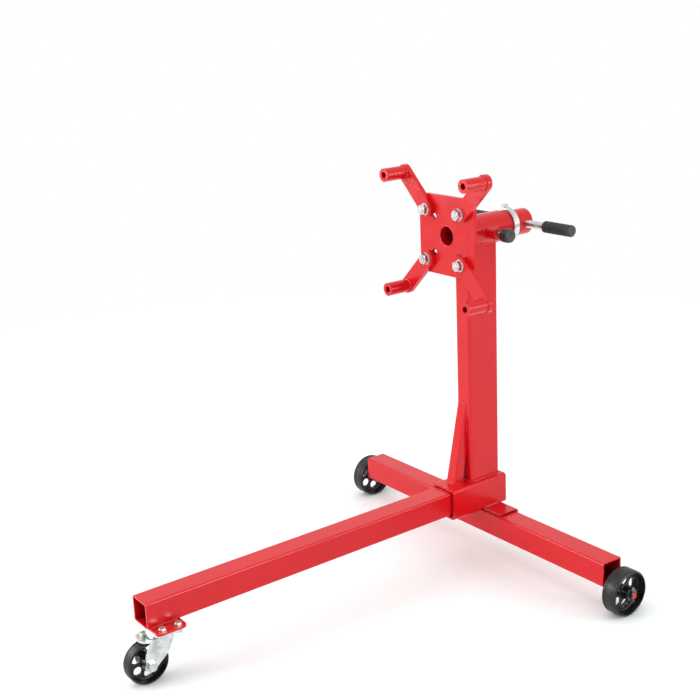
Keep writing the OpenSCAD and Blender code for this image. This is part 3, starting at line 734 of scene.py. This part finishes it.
profile = [(6.1 * MM, 0.0), (knob_r - KNOB_EDGE, 0.0)]
for i in range(EDGE_STEPS + 1):
    turn = math.pi / 2 * i / EDGE_STEPS
    distance = knob_r - KNOB_EDGE + KNOB_EDGE * math.sin(turn)
    profile.append((distance, KNOB_EDGE - KNOB_EDGE * math.cos(turn)))
for i in range(1, EDGE_STEPS):
    profile.append((knob_r, KNOB_EDGE + (knob_length - 2 * KNOB_EDGE) * i / EDGE_STEPS))
for i in range(EDGE_STEPS + 1):
    turn = math.pi / 2 * i / EDGE_STEPS
    distance = knob_r - KNOB_EDGE + KNOB_EDGE * math.cos(turn)
    profile.append((distance, knob_length - KNOB_EDGE + KNOB_EDGE * math.sin(turn)))
profile.append((knob_r - 7 * MM, knob_length))
profile.append((knob_r - 8 * MM, knob_length - 0.6 * MM))
lathe(knob, profile, frame_from((1, 0, 0), (knob_low.x, knob_middle.y, knob_middle.z)), wobble=flutes)
fluted = knob.piece("lock_pin_knob_fluted", RUBBER, "pin", angle=60.0)
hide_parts("lock_pin_knob")


# ---------- Floor, light and camera ----------


def floor_material():
    t = Tree("pale_floor")
    cloud = t.ranged(t.noise(1.2, 2.0), 0.3, 0.7, 0.0, 1.0)
    colour = t.blend(cloud, (0.905, 0.947, 0.947, 1), (0.925, 0.967, 0.967, 1))
    return t.finish(Base_Color=colour, Roughness=0.9, Specular_IOR_Level=0.0)


floor_mesh = bpy.data.meshes.new("floor")
FLOOR_R, FLOOR_SIDES = 2.6, 96
round_floor = []
for i in range(FLOOR_SIDES):
    turn = math.tau * i / FLOOR_SIDES
    round_floor.append((FLOOR_R * math.cos(turn), FLOOR_R * math.sin(turn), 0.0))
floor_mesh.from_pydata(round_floor, [], [tuple(range(FLOOR_SIDES))])
floor_mesh.materials.append(floor_material())
floor = bpy.data.objects.new("floor", floor_mesh)
bpy.context.scene.collection.objects.link(floor)

world = bpy.data.worlds.new("studio")
world.use_nodes = True
background = world.node_tree.nodes["Background"].inputs
background["Color"].default_value = (1.0, 1.0, 1.0, 1.0)
background["Strength"].default_value = 1.0
bpy.context.scene.world = world
bpy.context.scene.view_settings.view_transform = "Standard"


def aimed(location, target):
    """Matrix of a light or camera at location that looks at target."""
    back = (Vector(location) - Vector(target)).normalized()
    return Matrix.Translation(location) @ back.to_track_quat("Z", "Y").to_matrix().to_4x4()


def softbox(name, location, width, height, power, target=(0.0, 0.0, 0.35), glossy_only=False):
    light = bpy.data.lights.new(name, "AREA")
    light.shape = "RECTANGLE"
    light.size, light.size_y = width, height
    light.energy = power
    thing = bpy.data.objects.new(name, light)
    thing.matrix_world = aimed(location, target)
    thing.visible_diffuse = not glossy_only
    bpy.context.scene.collection.objects.link(thing)


sky = bpy.data.lights.new("overhead", "SUN")
sky.energy = 0.5
sky.angle = math.radians(55)
sky_thing = bpy.data.objects.new("overhead", sky)
sky_thing.matrix_world = aimed((-0.35, -0.5, 2.0), (0.0, 0.0, 0.0))
bpy.context.scene.collection.objects.link(sky_thing)
softbox("strip_right", (2.1, 1.7, 1.1), 0.25, 1.2, 11.0)
softbox("front_left", (-0.9, -2.6, 1.2), 1.4, 1.2, 30.0)
softbox("rim_right", (2.05, 0.6, 1.3), 1.2, 1.1, 42.0, glossy_only=True)
softbox("rim_left", (-1.3, -1.45, 0.95), 1.2, 0.8, 30.0, glossy_only=True)

AZIMUTH, ELEVATION, ROLL = math.radians(53.887), math.radians(16.612), math.radians(-2.624)
LEVEL = math.cos(ELEVATION)
back = Vector((math.sin(AZIMUTH) * LEVEL, -math.cos(AZIMUTH) * LEVEL, math.sin(ELEVATION)))
right = Vector((math.cos(AZIMUTH), math.sin(AZIMUTH), 0.0))
up = back.cross(right)
level = Matrix((right, up, back)).transposed().to_4x4()
camera_data = bpy.data.cameras.new("camera")
camera_data.sensor_width = 36.0
camera_data.lens = 61.16
camera_data.clip_start, camera_data.clip_end = 0.05, 100.0
camera = bpy.data.objects.new("camera", camera_data)
CAMERA_PLACE = (1.7513, -1.2467, 1.1651)
camera.matrix_world = Matrix.Translation(CAMERA_PLACE) @ level @ Matrix.Rotation(ROLL, 4, "Z")
bpy.context.scene.collection.objects.link(camera)
bpy.context.scene.camera = camera
